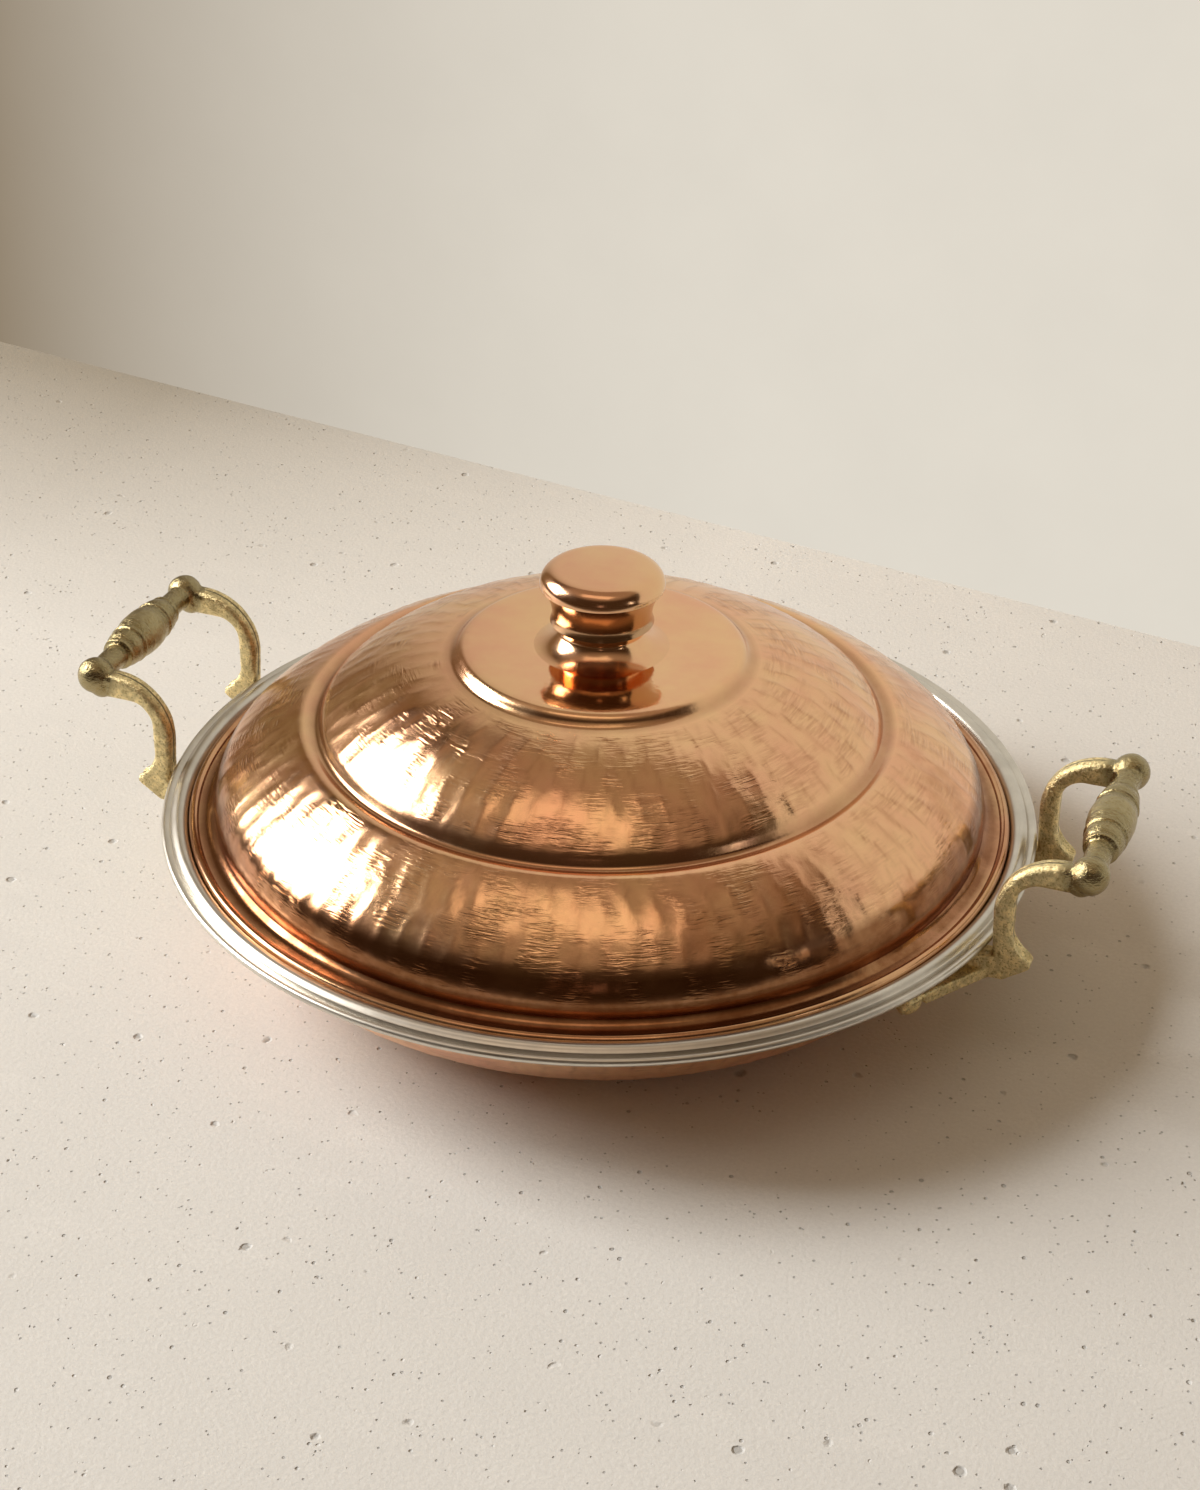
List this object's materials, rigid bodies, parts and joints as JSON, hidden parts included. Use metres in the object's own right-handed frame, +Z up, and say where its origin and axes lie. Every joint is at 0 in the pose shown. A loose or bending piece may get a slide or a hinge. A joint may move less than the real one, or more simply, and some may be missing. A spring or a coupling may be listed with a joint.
{
  "type": "two-handled pan with lid",
  "caption": "Shallow round-bottomed copper pan with a rolled rim, cast side handles with turned grips, and a loose stepped dome lid with a mushroom knob.",
  "frame": {"origin": "on the pan's axis, on the plane that its flat base rests on", "axes": "+X through the right handle's grip, +Z up along the axis of pan, lid and knob"},
  "size_m": [0.3416, 0.28, 0.1255],
  "materials": {
    "hammered_copper": "polished, hammered",
    "polished_copper": "polished, spun",
    "cast_brass": "satin, as cast with polished knuckles",
    "rivet_brass": "hammered",
    "steel": "drawn"
  },
  "bodies": {
    "pan": {"pan_body": "hammered_copper", "rim_wire": "steel", "right_handle": "cast_brass", "left_handle": "cast_brass", "right_front_rivet": "rivet_brass", "right_middle_rivet": "rivet_brass", "right_rear_rivet": "rivet_brass", "left_front_rivet": "rivet_brass", "left_middle_rivet": "rivet_brass", "left_rear_rivet": "rivet_brass"},
    "lid": {"lid_shell": "hammered_copper", "lid_edge_wire": "steel", "knob_foot": "polished_copper", "knob_body": "polished_copper", "knob_cap": "polished_copper", "knob_core": "cast_brass", "knob_screw": "steel", "knob_washer": "steel"}
  },
  "joints": [
    {"name": "lid_lift", "type": "slide", "parent": "pan", "child": "lid", "axis": [0, 0, 1], "range_m": [0, 0.15]}
  ]
}
